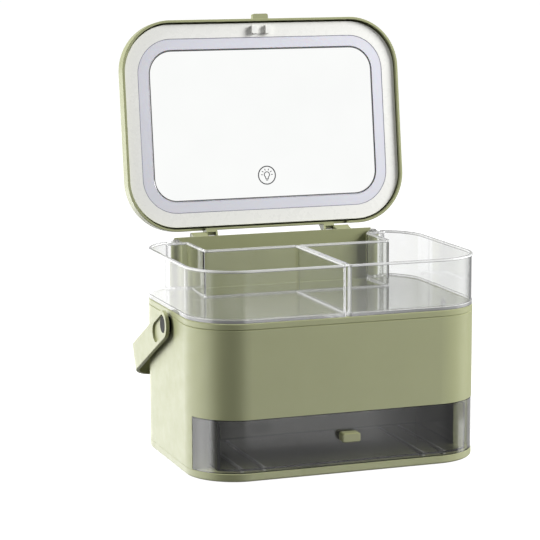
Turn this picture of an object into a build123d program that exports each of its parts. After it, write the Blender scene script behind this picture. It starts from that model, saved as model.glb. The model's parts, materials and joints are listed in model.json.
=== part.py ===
from build123d import *
import os
from math import cos, sin, radians

os.makedirs("parts", exist_ok=True)

# Makeup organizer: a rounded case with a clear front drawer, two clear trays that swing out on
# upright pins, a mirror lid hinged on a raised back wall, and a bail handle hung at the sides.
# Millimetres. X is the width, -Y the drawer side, +Z up, the floor at z = 0.

# Clearances
SLIDE_GAP = 0.3
FIT_GAP = 0.05
SEAT_GAP = 0.2
# How far a cutting shape runs past the face it cuts
PAST = 1.0

# Case
WIDTH = 280.0
DEPTH = 199.0
CORNER = 47.6
WALL = 3.0
BASE_TOP = 8.2
BAY_TOP = 57.5
CASE_TOP = 144.8
RIM_HEIGHT = 5.7
RIM_WIDTH = 5.0
RIM_ROUND = 0.8
GROOVE = 0.6
SIDE = WIDTH / 2
BACK = DEPTH / 2
FRONT = -DEPTH / 2
CASE_SPLIT = CASE_TOP - RIM_HEIGHT

# Base, its feet and its screws
BASE_SKIN = 2.8
BASE_ROUND = 2.0
RIB_THICK = 1.8
RIB_DROP = 0.6
RIB_PITCH = 44.0
TONGUE_HIGH = 2.4
TONGUE_THICK = 1.6
FOOT_RADIUS = 8.0
FOOT_THICK = 3.0
FOOT_PROUD = 0.8
FOOT_BOSS = 2.5
FOOT_SIDE = 42.0
FOOT_END = 31.5
SCREW_RADIUS = 1.5
SCREW_TOP = 20.0
SCREW_SEAT = 4.4
SCREW_HEAD = 3.1
SCREW_HEAD_HIGH = 2.2
POST_TOP = 30.0
REAR_POST = 5.0
REAR_POST_IN = 6.4
REAR_POST_TURN = 56.0
FRONT_POST_GRIP = 0.4
FRONT_POST_BACK = 21.0

# Drawer housing
BAY_SIDE = 18.5
BAY_SETBACK = 33.5
WELL_DEEP = 75.5
BAY_HALF = SIDE - BAY_SIDE
BAY_FRONT = FRONT + BAY_SETBACK
BAY_BACK = BACK - WELL_DEEP
DECK = 2.6
LINER = 2.4
LIP_DROP = 3.1
GLIDE_WIDTH = 2.4
GLIDE_HIGH = 2.0
GLIDE_SUNK = 0.6
GLIDE_INSET = (22.5, 43.5)
GLIDE_SHORT = (7.5, 8.0)
GLIDE_TOP = BASE_TOP + GLIDE_HIGH

# Drawer and its pull
PANEL_INSET = 0.2
PANEL_THICK = 2.8
DRAWER_WALL = 2.2
DRAWER_FLOOR = 2.0
DRAWER_SIDE_GAP = 0.9
DRAWER_BACK_GAP = 3.0
STOP_TAB = (13.5, 23.5)
STOP_TAB_GAP = 0.5
PULL_WIDTH = 17.5
PULL_HEIGHT = 8.6
PULL_OUT = 9.6
PULL_DROP = 22.0
PULL_STEM = 2.0
PULL_SCREW = 1.25
PULL_SCREW_HEAD = 3.4
PULL_ROUND = 2.2
PULL_Z = BAY_TOP - PULL_DROP

# Trays
TRAY_FLANGE = 4.0
TRAY_FLOOR = 2.5
TRAY_HEIGHT = 47.4
TRAY_WALL = 2.0
TRAY_INSET = 0.8
TRAY_BEAD = 0.5
BEAD_HIGH = 2.2
LUG_THICK = 2.5
TRAY_HALF_GAP = 1.0
TRAY_ROUND = 3.0
NOTCH_ROUND = 2.5
NOTCH_SIDE = 47.5
NOTCH_DEEP = 69.5
NOTCH_HALF = SIDE - NOTCH_SIDE
NOTCH_Y = BACK - NOTCH_DEEP
TRAY_Z = CASE_TOP + SLIDE_GAP
TRAY_TOP = TRAY_Z + TRAY_HEIGHT

# Tray pivots in the back corners, and the notches that the trays leave round them
BARREL = 5.4
TRAY_PIN = 1.5
PIN_SOCKET = 4.9
PIN_HEAD = 3.6
PIN_HEAD_HIGH = 1.6
PIVOT_IN = 6.8
PIVOT_TURN = 75.8
PIVOT_NOTCH = 9.2
PIVOT_NOTCH_GAP = 0.7
LUG_HALF = 4.2
PIVOT_X = SIDE - CORNER + (CORNER - PIVOT_IN) * cos(radians(PIVOT_TURN))
PIVOT_Y = BACK - CORNER + (CORNER - PIVOT_IN) * sin(radians(PIVOT_TURN))
PIVOT_NOTCH_Y = PIVOT_Y - BARREL - PIVOT_NOTCH_GAP

# Raised back wall and lid hinge
BACK_THICK = 2.6
BACK_PROUD = 2.5
TAB_WIDTH = 20.0
TAB_PITCH = 60.0
TAB_DEEP = 3.9
TAB_THICK = 1.65
KNUCKLE = 4.0
LID_KNUCKLE_LONG = 11.1
BASE_KNUCKLE_LONG = 15.2
KNUCKLE_CAP = 1.2
HINGE_PIN = 1.25
HINGE_SIDE = 84.5
HINGE_BEHIND = 8.5
HINGE_BELOW = 1.3
BACK_TOP = TRAY_TOP + BACK_PROUD
HINGE_Y = BACK + HINGE_BEHIND
HINGE_Z = BACK_TOP - HINGE_BELOW
LID_KNUCKLE = (SIDE - HINGE_SIDE, SIDE - HINGE_SIDE + LID_KNUCKLE_LONG)
BASE_KNUCKLE = (LID_KNUCKLE[1] + SLIDE_GAP, LID_KNUCKLE[1] + SLIDE_GAP + BASE_KNUCKLE_LONG)

# Lid, modelled closed and then swung open
LID_OVER_SIDE = 3.4
LID_OVER_END = 3.1
LID_WALL = 2.3
LID_SKIN = 2.6
LID_HEIGHT = 19.4
LID_LAP = 0.9
LID_ROUND = 6.0
LID_CORNER_MORE = 2.4
LID_WIDTH = WIDTH + 2 * LID_OVER_SIDE
LID_DEPTH = DEPTH + 2 * LID_OVER_END
LID_CORNER = CORNER + LID_CORNER_MORE
LID_LOW = TRAY_TOP - LID_LAP
LID_TOP = LID_LOW + LID_HEIGHT
OPEN_ANGLE = 97.76

# Mirror frame, light ring and mirror glass in the lid
FRAME_LIFT = 2.9
FRAME_THICK = 3.0
FACE_DEPTH = 1.8
SKIRT_HIGH = 2.8
SKIRT_THICK = 1.7
RING_LEDGE = 5.0
MIRROR_BEVEL = 0.5
FRAME_GAP_SIDE = 0.6
FRAME_GAP_END = 1.6
FRAME_BAND_SIDE = 13.2
FRAME_BAND_END = 13.9
FRAME_BAND_CORNER = 12.8
RING_BAND = 10.9
FRAME_Z = TRAY_TOP + FRAME_LIFT
FRAME_W = LID_WIDTH - 2 * (LID_WALL + FRAME_GAP_SIDE)
FRAME_D = LID_DEPTH - 2 * (LID_WALL + FRAME_GAP_END)
FRAME_R = LID_CORNER - LID_WALL - FRAME_GAP_SIDE / 2
RING_W = FRAME_W - 2 * FRAME_BAND_SIDE
RING_D = FRAME_D - 2 * FRAME_BAND_END
RING_R = FRAME_R - FRAME_BAND_CORNER

# Touch pad, boards, lamps and cell behind the mirror
TOUCH_RADIUS = 8.0
TOUCH_THICK = 0.6
TOUCH_IN = 22.6
TOUCH_Y = RING_D / 2 - RING_BAND - TOUCH_IN
BOARD_THICK = 1.5
BOARD_INSET = 3.5
BOARD_LIFT = 4.7
BOARD_Z = FRAME_Z + BOARD_LIFT
BOSS_RADIUS = 3.6
BOSS_SIDE = 40.0
BOSS_END = 33.5
LID_SCREW = 1.0
LID_SCREW_HEAD = 2.2
LID_SCREW_LONG = 6.2
STRIP_THICK = 0.3
STRIP_HALF = 3.0
LAMP_LONG = 3.2
LAMP_WIDE = 2.8
LAMP_HIGH = 0.8
LAMP_PITCH = 22.0
CELL_SIZE = (62.0, 36.0, 6.0)
CELL_AT = (-61.0, 20.0)
CELL_ROUND = 2.4
CONTROL_SIZE = (52.0, 32.0, 1.2)
CONTROL_AT = (40.0, 20.0)
STANDOFF = 2.0
STANDOFF_INSET = (6.0, 5.0)
# Chips on the control board: place from its middle, then width, depth and height
CHIPS = ((-1.0, -1.0, 10.0, 10.0, 1.2), (13.0, -6.0, 6.0, 8.0, 2.0), (-16.5, 7.0, 7.0, 10.0, 2.4))

# Charging socket, catch and lift tab on the lid
SOCKET_WIDE = 9.0
SOCKET_HIGH = 3.2
SOCKET_DEEP = 8.0
SOCKET_SHELL = 0.75
SOCKET_TONGUE = 0.6
SOCKET_Y = 40.0
SOCKET_DROP = 7.8
CATCH_GAP = 0.7
CATCH_HALF = 9.6
CATCH_SLOT = 4.7
CATCH_LONG = 8.0
CATCH_HIGH = 4.6
CATCH_SKIN = 0.8
TAB_LIFT_HALF = 8.0
TAB_LIFT_OUT = 4.8
TAB_LIFT_HIGH = 6.2
TAB_LIFT_ROUND = 2.0
TAB_ROOT_HALF = 5.0
TAB_ROOT_DEEP = 1.2

# Handle
HANDLE_Y = -6.0
HANDLE_DROP = 13.6
STRAP_HALF = 13.2
STRAP_THICK = 3.3
BEND = 27.0
HANG_ANGLE = 27.0
RECESS_DEEP = 2.2
RECESS_RADIUS = 9.3
RECESS_RUN = 24.0
STUD_RADIUS = 3.0
STUD_HEAD = 7.7
STUD_HEAD_HIGH = 1.6
STUD_FLANGE = 4.5
STUD_FLANGE_THICK = 2.4
WASHER_RADIUS = 7.5
WASHER_GAP = 0.1
HANDLE_Z = CASE_TOP - HANDLE_DROP
ARM_IN = LID_WIDTH / 2 + SLIDE_GAP
ARM_OUT = ARM_IN + STRAP_THICK

LEFT_RIGHT = (-1, 1)


def box(x0, x1, y0, y1, z0, z1):
    """A box between two corners."""
    centre = Pos((x0 + x1) / 2, (y0 + y1) / 2, (z0 + z1) / 2)
    return centre * Box(abs(x1 - x0), abs(y1 - y0), abs(z1 - z0))


def slab(centre, size, z0):
    """A box on a level, from the middle of its plan and its width, depth and height."""
    x, y = centre
    wide, deep, high = size
    return box(x - wide / 2, x + wide / 2, y - deep / 2, y + deep / 2, z0, z0 + high)


def post(x, y, z0, z1, radius):
    """An upright round post."""
    return Pos(x, y, (z0 + z1) / 2) * Cylinder(radius, z1 - z0)


def rod(x0, x1, y, z, radius):
    """A round bar along X."""
    return Pos((x0 + x1) / 2, y, z) * Rot(0, 90, 0) * Cylinder(radius, abs(x1 - x0))


def plug(y0, y1, z, radius):
    """A round bar along Y on the middle of the case."""
    return Pos(0, (y0 + y1) / 2, z) * Rot(90, 0, 0) * Cylinder(radius, abs(y1 - y0))


def plate(width, depth, corner, z0, z1):
    """A plate with a rounded rectangular plan."""
    return Pos(0, 0, z0) * extrude(RectangleRounded(width, depth, corner), z1 - z0)


def case_slab(inset, z0, z1):
    """A plate with the outline of the case, drawn in by an inset."""
    return plate(WIDTH - 2 * inset, DEPTH - 2 * inset, CORNER - inset, z0, z1)


def case_ring(inset, thick, z0, z1):
    """An upright band that follows the outline of the case."""
    return case_slab(inset, z0, z1) - case_slab(inset + thick, z0 - PAST, z1 + PAST)


def top_edges(solid):
    return solid.edges().group_by(Axis.Z)[-1]


def low_edges(solid):
    return solid.edges().group_by(Axis.Z)[0]


def side_profile(points, x0, x1):
    """A prism along X from a profile drawn in the YZ plane."""
    face = make_face(Polyline(*[(0, y, z) for y, z in points], close=True))
    return Pos(x0, 0, 0) * extrude(face, x1 - x0, dir=(1, 0, 0))


def mirrored(solid):
    return mirror(solid, about=Plane.YZ)


def near(shape, x, y):
    """The vertex of a plan that lies closest to a spot."""
    spot = Vector(x, y, 0)
    return shape.vertices().sort_by(lambda v: (Vector(v) - spot).length)[:1]


# The front screws stand between the drawer housing and the case side, the rear ones in the corners
SIDE_SPACE = SIDE - WALL - BAY_HALF - LINER
FRONT_POST = SIDE_SPACE / 2 + FRONT_POST_GRIP
FRONT_X = BAY_HALF + LINER + SIDE_SPACE / 2
FRONT_SCREWS = [(s * FRONT_X, BAY_FRONT + FRONT_POST_BACK) for s in LEFT_RIGHT]
REAR_X = SIDE - CORNER + (CORNER - REAR_POST_IN) * cos(radians(REAR_POST_TURN))
REAR_Y = BACK - CORNER + (CORNER - REAR_POST_IN) * sin(radians(REAR_POST_TURN))
REAR_SCREWS = [(s * REAR_X, REAR_Y) for s in LEFT_RIGHT]
BASE_SCREWS = FRONT_SCREWS + REAR_SCREWS

# Feet under the four corners and one under the middle, which keeps the drawer floor from sagging
FOOT_SPOTS = [(s * (SIDE - FOOT_SIDE), t * (BACK - FOOT_END)) for s in LEFT_RIGHT for t in LEFT_RIGHT]
FOOT_SPOTS.append((0.0, 0.0))

GLIDE_X = [s * (BAY_HALF - inset) for s in LEFT_RIGHT for inset in GLIDE_INSET]
TAB_X = (-TAB_PITCH, 0.0, TAB_PITCH)


def glide_strip(spread, z0, z1):
    """The four drawer glides, or with a spread the slots that they sit in."""
    y0 = FRONT + GLIDE_SHORT[0] - spread
    y1 = BAY_BACK - GLIDE_SHORT[1] + spread
    half = GLIDE_WIDTH / 2 + spread
    return [box(x - half, x + half, y0, y1, z0, z1) for x in GLIDE_X]


def base_plate():
    """Base moulding with ribs, foot seats, screw seats and a tongue inside the case wall."""
    outer = case_slab(0, FOOT_PROUD, BASE_TOP)
    outer = fillet(low_edges(outer), BASE_ROUND)
    outer = chamfer(top_edges(outer), GROOVE / 2)
    hollow = case_slab(WALL, FOOT_PROUD - PAST, BASE_TOP - BASE_SKIN)
    rib = RIB_THICK / 2
    across = int((SIDE - CORNER) / RIB_PITCH)
    for k in range(-across, across + 1):
        x = k * RIB_PITCH
        hollow -= box(x - rib, x + rib, -DEPTH, DEPTH, FOOT_PROUD + RIB_DROP, BASE_TOP)
    along = int((BACK - CORNER) / RIB_PITCH)
    for k in range(-along, along + 1):
        y = k * RIB_PITCH
        hollow -= box(-WIDTH, WIDTH, y - rib, y + rib, FOOT_PROUD + RIB_DROP, BASE_TOP)
    for x, y in FOOT_SPOTS:
        hollow -= post(x, y, FOOT_PROUD, BASE_TOP, FOOT_RADIUS + FOOT_BOSS)
    for x, y in BASE_SCREWS:
        hollow -= post(x, y, FOOT_PROUD, BASE_TOP, SCREW_HEAD + FOOT_BOSS)
    tongue = case_ring(WALL + SEAT_GAP, TONGUE_THICK, BASE_TOP, BASE_TOP + TONGUE_HIGH)
    tongue &= box(-WIDTH, WIDTH, BAY_BACK + 2 * LINER, DEPTH, 0, CASE_TOP)
    for x, y in REAR_SCREWS:
        tongue -= post(x, y, 0, POST_TOP, REAR_POST + 2 * SEAT_GAP)
    base = outer - hollow + tongue
    for x, y in FOOT_SPOTS:
        base -= post(x, y, 0, FOOT_THICK, FOOT_RADIUS + FIT_GAP)
    for x, y in BASE_SCREWS:
        base -= post(x, y, 0, SCREW_SEAT, SCREW_HEAD + 2 * SEAT_GAP)
        base -= post(x, y, 0, POST_TOP, SCREW_RADIUS + FIT_GAP)
    for slot in glide_strip(FIT_GAP, BASE_TOP - GLIDE_SUNK, BASE_TOP + PAST):
        base -= slot
    return base


def body_shell():
    """Rounded wall of the case, cut away round the drawer, with the two rear screw posts."""
    outer = case_slab(0, BASE_TOP, CASE_SPLIT)
    outer = chamfer(top_edges(outer), GROOVE)
    shell = outer - case_slab(WALL, BASE_TOP - PAST, CASE_SPLIT + PAST)
    shell -= box(-WIDTH, WIDTH, -DEPTH, BAY_FRONT, BASE_TOP - PAST, BAY_TOP)
    for x, y in REAR_SCREWS:
        shell += post(x, y, BASE_TOP, POST_TOP, REAR_POST) & case_slab(WALL / 2, BASE_TOP, POST_TOP)
        shell -= post(x, y, BASE_TOP - PAST, SCREW_TOP + PAST, SCREW_RADIUS + FIT_GAP)
    for s in LEFT_RIGHT:
        shell -= rod(s * (SIDE - WALL - PAST), s * (SIDE + PAST), HANDLE_Y, HANDLE_Z,
                     STUD_RADIUS + FIT_GAP)
    return shell


def drawer_bay():
    """Housing that the drawer runs in: deck, back, sides, front returns and the stop lip."""
    wide = BAY_HALF + LINER
    bay = box(-WIDTH, WIDTH, -DEPTH, BAY_BACK + LINER, BAY_TOP, BAY_TOP + DECK)
    bay += box(-wide, wide, BAY_BACK, BAY_BACK + LINER, BASE_TOP, BAY_TOP)
    bay += box(-BAY_HALF, BAY_HALF, BAY_FRONT, BAY_FRONT + LINER, BAY_TOP - LIP_DROP, BAY_TOP)
    for s in LEFT_RIGHT:
        bay += box(s * BAY_HALF, s * wide, BAY_FRONT, BAY_BACK, BASE_TOP, BAY_TOP)
        bay += box(s * BAY_HALF, s * SIDE, BAY_FRONT, BAY_FRONT + LINER, BASE_TOP, BAY_TOP)
    for x, y in FRONT_SCREWS:
        bay += post(x, y, BASE_TOP, POST_TOP, FRONT_POST)
    bay &= case_slab(WALL + FIT_GAP, BASE_TOP, CASE_TOP)
    for x, y in FRONT_SCREWS:
        bay -= post(x, y, BASE_TOP - PAST, SCREW_TOP + PAST, SCREW_RADIUS + FIT_GAP)
    return bay


def tab_box(x, spread, z0, z1):
    """A tab under the back wall, or with a spread the slot that it drops into."""
    half = TAB_WIDTH / 2 + 2 * spread
    y0 = BACK - BACK_THICK + 2 * SEAT_GAP
    return box(x - half, x + half, y0 - spread, y0 + TAB_THICK + spread, z0, z1)


def top_rim():
    """Rim that closes the top of the case, with the seats for the tray pins and the back wall."""
    outer = case_slab(0, CASE_SPLIT, CASE_TOP)
    outer = chamfer(low_edges(outer), GROOVE)
    outer = fillet(top_edges(outer), RIM_ROUND)
    rim = outer - case_slab(RIM_WIDTH, CASE_SPLIT - PAST, CASE_TOP + PAST)
    rim += case_ring(WALL + SEAT_GAP, RIM_WIDTH - WALL - SEAT_GAP, CASE_SPLIT - WALL, CASE_SPLIT)
    for s in LEFT_RIGHT:
        pad = post(s * PIVOT_X, PIVOT_Y, CASE_SPLIT, CASE_TOP, BARREL + 2 * SEAT_GAP)
        rim += pad & case_slab(PAST, CASE_SPLIT, CASE_TOP)
        rim -= post(s * PIVOT_X, PIVOT_Y, CASE_TOP - PIN_SOCKET, CASE_TOP + PAST,
                    TRAY_PIN + FIT_GAP)
    for x in TAB_X:
        rim -= tab_box(x, FIT_GAP, CASE_TOP - TAB_DEEP - SEAT_GAP, CASE_TOP + PAST)
    return rim


def base_knuckle():
    """Hinge knuckle on the right of the back wall, with its arm."""
    x0, x1 = BASE_KNUCKLE
    root = BACK - WALL / 3
    arm = [(root, HINGE_Z - 3 * KNUCKLE), (root, BACK_TOP),
           (HINGE_Y - 0.75 * KNUCKLE, HINGE_Z + 0.72 * KNUCKLE),
           (HINGE_Y, HINGE_Z), (HINGE_Y, HINGE_Z - KNUCKLE)]
    knuckle = side_profile(arm, x0, x1) + rod(x0, x1, HINGE_Y, HINGE_Z, KNUCKLE)
    return knuckle - rod(x0 - PAST, x1 - KNUCKLE_CAP, HINGE_Y, HINGE_Z, HINGE_PIN + FIT_GAP)


def back_wall():
    """Raised wall behind the trays, with its tabs, the tray barrels and two hinge knuckles."""
    y_in = BACK - BACK_THICK
    wall = box(-PIVOT_X, PIVOT_X, y_in, DEPTH, CASE_TOP, BACK_TOP)
    wall &= case_slab(0, CASE_TOP, BACK_TOP)
    for x in TAB_X:
        wall += tab_box(x, 0, CASE_TOP - TAB_DEEP, CASE_TOP + PAST)
    low = TRAY_Z + TRAY_FLANGE + SLIDE_GAP
    high = TRAY_TOP - LUG_THICK - SLIDE_GAP
    for s in LEFT_RIGHT:
        wall += post(s * PIVOT_X, PIVOT_Y, low, high, BARREL)
        wall += box(s * (PIVOT_X - BARREL), s * PIVOT_X, PIVOT_Y, y_in + PAST, low, high)
        wall -= post(s * PIVOT_X, PIVOT_Y, CASE_TOP, BACK_TOP, TRAY_PIN + FIT_GAP)
    knuckle = base_knuckle()
    return wall + knuckle + mirrored(knuckle)


def tray_plan():
    """Plan of the right tray's walls: half the case less the well notch and the pivot notch."""
    plan = RectangleRounded(WIDTH - 2 * TRAY_INSET, DEPTH - 2 * TRAY_INSET, CORNER - TRAY_INSET)
    plan = plan & (Pos(TRAY_HALF_GAP + WIDTH / 2, 0) * Rectangle(WIDTH, 2 * DEPTH))
    plan -= Pos(0, NOTCH_Y + DEPTH / 2) * Rectangle(2 * NOTCH_HALF, DEPTH)
    right = PIVOT_X + PIVOT_NOTCH
    plan -= Pos(right / 2, PIVOT_NOTCH_Y + DEPTH / 2) * Rectangle(right, DEPTH)
    plan = fillet(near(plan, TRAY_HALF_GAP, FRONT), TRAY_ROUND)
    plan = fillet(near(plan, TRAY_HALF_GAP, NOTCH_Y), TRAY_ROUND)
    plan = fillet(near(plan, NOTCH_HALF, NOTCH_Y), NOTCH_ROUND)
    plan = fillet(near(plan, NOTCH_HALF, PIVOT_NOTCH_Y), TRAY_ROUND)
    return fillet(near(plan, right, PIVOT_NOTCH_Y), TRAY_ROUND)


def right_tray():
    """Clear tray with a foot flange, a bead round its top and lugs round the barrel."""
    plan = tray_plan()
    wide = offset(plan, TRAY_BEAD, kind=Kind.ARC)
    slim = offset(plan, -TRAY_WALL, kind=Kind.ARC)
    flange = Pos(0, 0, TRAY_Z) * extrude(wide, TRAY_FLANGE)
    flange = chamfer(top_edges(flange), TRAY_BEAD * 0.8)
    walls = Pos(0, 0, TRAY_Z) * extrude(plan, TRAY_HEIGHT - TRAY_BEAD)
    bead = Pos(0, 0, TRAY_TOP - BEAD_HIGH) * extrude(wide, BEAD_HIGH)
    bead = chamfer(top_edges(bead), TRAY_BEAD * 0.9)
    tray = flange + walls + bead
    tray -= Pos(0, 0, TRAY_Z + TRAY_FLOOR) * extrude(slim, TRAY_HEIGHT)
    for z0, z1 in ((TRAY_Z, TRAY_Z + TRAY_FLANGE), (TRAY_TOP - LUG_THICK, TRAY_TOP)):
        tray += post(PIVOT_X, PIVOT_Y, z0, z1, BARREL - 2 * SEAT_GAP)
        tray += box(PIVOT_X - LUG_HALF, PIVOT_X + LUG_HALF, PIVOT_NOTCH_Y - TRAY_WALL / 2,
                    PIVOT_Y, z0, z1)
    return tray - post(PIVOT_X, PIVOT_Y, TRAY_Z - PAST, TRAY_TOP + PAST, TRAY_PIN + FIT_GAP)


def tray_pivot_pins():
    """The two headed pins, down through tray and barrel into the rim."""
    pins = []
    head_low = TRAY_TOP + SEAT_GAP
    for s in LEFT_RIGHT:
        pin = post(s * PIVOT_X, PIVOT_Y, CASE_TOP - PIN_SOCKET + SEAT_GAP, head_low + SEAT_GAP,
                   TRAY_PIN)
        head = post(s * PIVOT_X, PIVOT_Y, head_low, head_low + PIN_HEAD_HIGH, PIN_HEAD)
        pins.append(pin + chamfer(top_edges(head), PIN_HEAD / 4))
    return pins


def drawer_front():
    """Clear front of the drawer, wrapped round both corners of the case."""
    panel = case_ring(PANEL_INSET, PANEL_THICK - PANEL_INSET,
                      BASE_TOP + SLIDE_GAP, BAY_TOP - SLIDE_GAP)
    panel &= box(-WIDTH, WIDTH, -DEPTH, BAY_FRONT - SLIDE_GAP, 0, BAY_TOP)
    return panel - plug(FRONT - PAST, FRONT + 2 * PANEL_THICK, PULL_Z, PULL_STEM + FIT_GAP)


def drawer_box():
    """Clear floor and walls of the drawer, bonded to the back of its front, with two stop tabs."""
    half = BAY_HALF - DRAWER_SIDE_GAP
    back = BAY_BACK - DRAWER_BACK_GAP
    low = GLIDE_TOP + SLIDE_GAP
    wall_top = BAY_TOP - LIP_DROP - 2 * SEAT_GAP
    tub = box(-half, half, -DEPTH, back, low, wall_top)
    tub -= box(-half + DRAWER_WALL, half - DRAWER_WALL, -DEPTH, back - DRAWER_WALL,
               low + DRAWER_FLOOR, BAY_TOP)
    tub &= case_slab(PANEL_THICK + FIT_GAP, low, BAY_TOP)
    for s in LEFT_RIGHT:
        tub += box(s * (BAY_HALF - STOP_TAB[0]), s * (BAY_HALF - STOP_TAB[1]),
                   back - DRAWER_WALL, back, low, BAY_TOP - STOP_TAB_GAP)
    return tub


def drawer_pull():
    """Rounded pull with a short stem through the drawer's front panel."""
    face = FRONT + PANEL_INSET
    tab = box(-PULL_WIDTH / 2, PULL_WIDTH / 2, face - PULL_OUT, face,
              PULL_Z - PULL_HEIGHT / 2, PULL_Z + PULL_HEIGHT / 2)
    tab = fillet(tab.edges().filter_by(Axis.Y), PULL_ROUND)
    tab = fillet(tab.edges().group_by(Axis.Y)[0], PULL_ROUND * 0.55)
    pull = tab + plug(face - PAST, FRONT + PANEL_THICK - SEAT_GAP, PULL_Z, PULL_STEM)
    return pull - plug(face - PULL_OUT / 2, FRONT + PANEL_THICK, PULL_Z, PULL_SCREW + FIT_GAP)


def pull_screw():
    """Screw from inside the drawer into the pull."""
    inner = FRONT + PANEL_THICK
    shank = plug(inner - PULL_OUT * 0.65, inner + FIT_GAP, PULL_Z, PULL_SCREW)
    head = plug(inner, inner + PULL_SCREW_HEAD / 2, PULL_Z, PULL_SCREW_HEAD)
    return shank + chamfer(head.edges().group_by(Axis.Y)[-1], PULL_SCREW_HEAD / 5)


def glide_strips():
    """Low strips that the drawer slides on, let into the base."""
    strips = glide_strip(0, BASE_TOP - GLIDE_SUNK, GLIDE_TOP)
    return [chamfer(top_edges(strip), GLIDE_WIDTH / 5) for strip in strips]


def rubber_feet():
    feet = [post(x, y, 0, FOOT_THICK, FOOT_RADIUS) for x, y in FOOT_SPOTS]
    return [chamfer(low_edges(foot), FOOT_THICK / 6) for foot in feet]


def base_screws():
    screws = []
    for x, y in BASE_SCREWS:
        head = post(x, y, SCREW_SEAT - SCREW_HEAD_HIGH, SCREW_SEAT, SCREW_HEAD)
        head = chamfer(low_edges(head), SCREW_HEAD_HIGH / 3)
        screws.append(head + post(x, y, SCREW_SEAT - SEAT_GAP, SCREW_TOP, SCREW_RADIUS))
    return screws


def handle_recess(x0, x1):
    """Long round-ended recess along the arm, drawn before the handle is tipped down."""
    slot = rod(x0, x1, 0, 0, RECESS_RADIUS) + rod(x0, x1, RECESS_RUN, 0, RECESS_RADIUS)
    return slot + box(x0, x1, 0, RECESS_RUN, -RECESS_RADIUS, RECESS_RADIUS)


def bail_plan(half, length):
    """U-shaped outline of the handle, open towards the front, with rounded back corners."""
    plan = Pos(0, length / 2 - STRAP_HALF / 2) * Rectangle(2 * half, length + STRAP_HALF)
    bend = BEND - (ARM_OUT - half)
    plan = fillet(near(plan, -half, length), bend)
    return fillet(near(plan, half, length), bend)


def handle_bail():
    """Bail handle, built level with its pivots on the X axis and then tipped down to hang."""
    hang = radians(HANG_ANGLE)
    reach = (BACK + SLIDE_GAP - HANDLE_Y + STRAP_HALF * sin(hang)) / cos(hang)
    length = reach + STRAP_THICK
    strap = Pos(0, 0, -STRAP_HALF) * extrude(bail_plan(ARM_OUT, length), 2 * STRAP_HALF)
    strap = chamfer(top_edges(strap) + low_edges(strap), STRAP_THICK / 5.5)
    inner = extrude(bail_plan(ARM_IN, reach), 4 * STRAP_HALF)
    strap -= Pos(0, 0, -2 * STRAP_HALF) * inner
    # The hollow is carried past the arms' ends, which the hubs then round off
    strap -= box(-ARM_IN, ARM_IN, -2 * STRAP_HALF, 0, -2 * STRAP_HALF, 2 * STRAP_HALF)
    side = rod(-ARM_OUT, ARM_OUT, 0, 0, STRAP_HALF)
    side += box(-ARM_OUT, ARM_OUT, 0, length, -STRAP_HALF, STRAP_HALF)
    bail = strap & side
    for s in LEFT_RIGHT:
        bail -= handle_recess(s * (ARM_OUT - RECESS_DEEP), s * (ARM_OUT + PAST))
        bail -= rod(s * (ARM_IN - PAST), s * ARM_OUT, 0, 0, STUD_RADIUS + FIT_GAP)
    return Pos(0, HANDLE_Y, HANDLE_Z) * Rot(-HANG_ANGLE, 0, 0) * bail


def handle_studs():
    """Pivot studs, flanged inside the case wall and headed in the arms' recesses."""
    studs = []
    floor = ARM_OUT - RECESS_DEEP + WASHER_GAP
    inner = SIDE - WALL
    for s in LEFT_RIGHT:
        stud = rod(s * (inner - STUD_FLANGE_THICK), s * (floor + WASHER_GAP), HANDLE_Y, HANDLE_Z,
                   STUD_RADIUS)
        stud += rod(s * floor, s * (floor + STUD_HEAD_HIGH), HANDLE_Y, HANDLE_Z, STUD_HEAD)
        stud += rod(s * (inner - STUD_FLANGE_THICK), s * inner, HANDLE_Y, HANDLE_Z, STUD_FLANGE)
        studs.append(stud)
    return studs


def handle_washers():
    """Spacers between the case and the arms."""
    washers = []
    for s in LEFT_RIGHT:
        ring = rod(s * SIDE, s * (ARM_IN - WASHER_GAP), HANDLE_Y, HANDLE_Z, WASHER_RADIUS)
        ring -= rod(s * (SIDE - PAST), s * ARM_IN, HANDLE_Y, HANDLE_Z, STUD_RADIUS + FIT_GAP)
        washers.append(ring)
    return washers


def hinge_pins():
    x0 = LID_KNUCKLE[0] + KNUCKLE_CAP + SEAT_GAP
    x1 = BASE_KNUCKLE[1] - KNUCKLE_CAP - SEAT_GAP
    return [rod(s * x0, s * x1, HINGE_Y, HINGE_Z, HINGE_PIN) for s in LEFT_RIGHT]


def opened(shape):
    """Swing a piece modelled on the closed lid up to the open lid."""
    return shape.rotate(Axis((0, HINGE_Y, HINGE_Z), (1, 0, 0)), -OPEN_ANGLE)


LID_BOSSES = [(x * (SIDE - BOSS_SIDE), y * (BACK - BOSS_END)) for x in (-1, 0, 1) for y in LEFT_RIGHT]
SOCKET_Z = LID_TOP - SOCKET_DROP
LIFT_Z = LID_LOW + LID_LAP


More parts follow.
